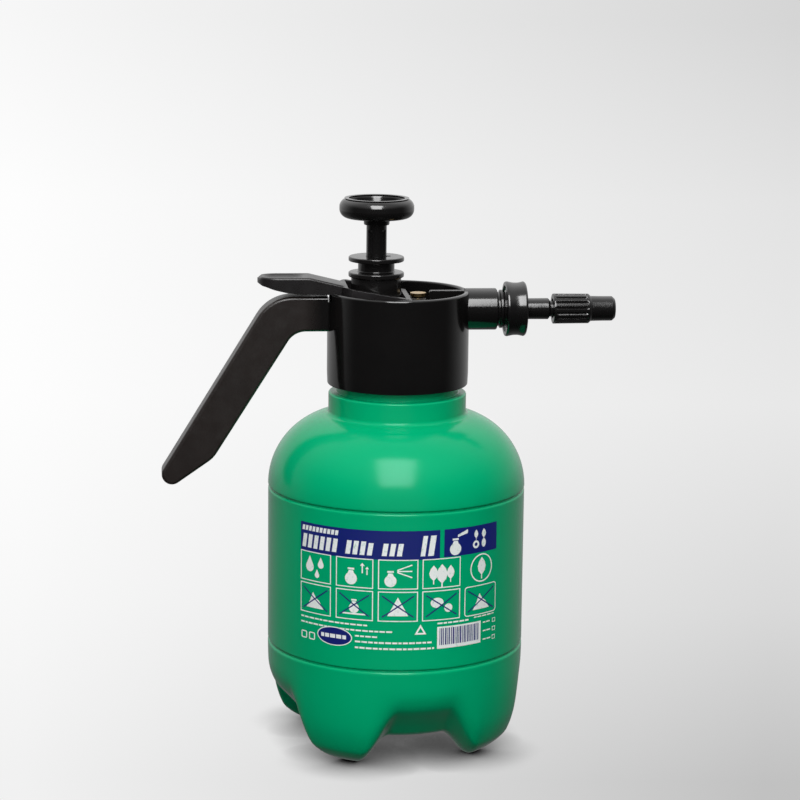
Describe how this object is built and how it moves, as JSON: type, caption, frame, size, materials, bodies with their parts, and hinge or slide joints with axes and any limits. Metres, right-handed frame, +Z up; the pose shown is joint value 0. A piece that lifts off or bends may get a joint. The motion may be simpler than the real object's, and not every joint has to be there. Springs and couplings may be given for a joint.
{
  "type": "hand pump pressure sprayer",
  "caption": "Hand pump pressure sprayer: footed round tank, screw-on head with slanted grip, top thumb lever, offset plunger pump and front nozzle with ribbed cap.",
  "frame": {"origin": "on the bottle's axis, at the level of the four feet", "axes": "+Z up along the bottle's axis, +X the way the nozzle sprays, with the handle on the -X side"},
  "size_m": [0.2204, 0.1254, 0.2689],
  "materials": {
    "tank": "satin gloss blown polyethylene",
    "black_plastic": "satin moulded polypropylene",
    "natural_plastic": "natural moulded polypropylene",
    "tube": "translucent extruded polyethylene",
    "rubber": "smooth nitrile rubber",
    "brass": "turned brass",
    "spring_steel": "drawn stainless wire"
  },
  "bodies": {
    "tank": {"bottle": "tank"},
    "head": {"head_housing": "black_plastic", "neck_gasket": "rubber", "pump_barrel": "natural_plastic", "barrel_seal": "rubber", "foot_valve": "rubber", "dip_tube": "tube", "intake_filter": "natural_plastic", "valve_cap": "black_plastic", "stem_seal": "rubber", "lance_stub": "black_plastic", "lance_seal": "rubber", "nozzle_seal": "rubber", "swirl_core": "natural_plastic"},
    "pump_nut": {"pump_nut": "black_plastic"},
    "piston": {"piston": "natural_plastic", "piston_seal": "rubber"},
    "plunger": {"piston_rod": "black_plastic", "pump_knob": "black_plastic"},
    "trigger": {"trigger_lever": "black_plastic"},
    "valve": {"valve_stem": "brass", "valve_seal": "rubber", "valve_spring": "spring_steel"},
    "union": {"union_nut": "black_plastic"},
    "nozzle": {"nozzle_cap": "black_plastic", "nozzle_insert": "brass"}
  },
  "joints": [
    {"name": "head_unscrew", "type": "hinge", "parent": "tank", "child": "head", "pos_m": [0, 0, 0.19], "axis": [0, 0, 1], "range_deg": [0, 540]},
    {"name": "pump_nut_unscrew", "type": "hinge", "parent": "head", "child": "pump_nut", "pos_m": [-0.0108, 0, 0.22], "axis": [0, 0, 1], "range_deg": [0, 540]},
    {"name": "pump_stroke", "type": "slide", "parent": "head", "child": "piston", "axis": [0, 0, 1], "range_m": [0, 0.08]},
    {"name": "knob_turn", "type": "hinge", "parent": "piston", "child": "plunger", "pos_m": [-0.0108, 0, 0.2], "axis": [0, 0, 1], "continuous": true},
    {"name": "trigger_press", "type": "hinge", "parent": "head", "child": "trigger", "pos_m": [-0.014, 0, 0.2145], "axis": [0, -1, 0], "range_deg": [0, 8], "stiffness_Nm_per_rad": 0.5, "springref_deg": -8.59},
    {"name": "valve_lift", "type": "slide", "parent": "head", "child": "valve", "axis": [0, 0, 1], "range_m": [0, 0.004], "deforming": ["valve_spring"]},
    {"name": "union_nut_unscrew", "type": "hinge", "parent": "head", "child": "union", "pos_m": [0.057, 0, 0.2147], "axis": [1, 0, 0], "range_deg": [0, 540]},
    {"name": "spray_adjust", "type": "hinge", "parent": "head", "child": "nozzle", "pos_m": [0.09, 0, 0.2147], "axis": [1, 0, 0], "range_deg": [0, 540]}
  ],
  "couplings": [
    {"joint": "valve_lift", "follows": "trigger_press", "m_per_rad": 0.026}
  ]
}
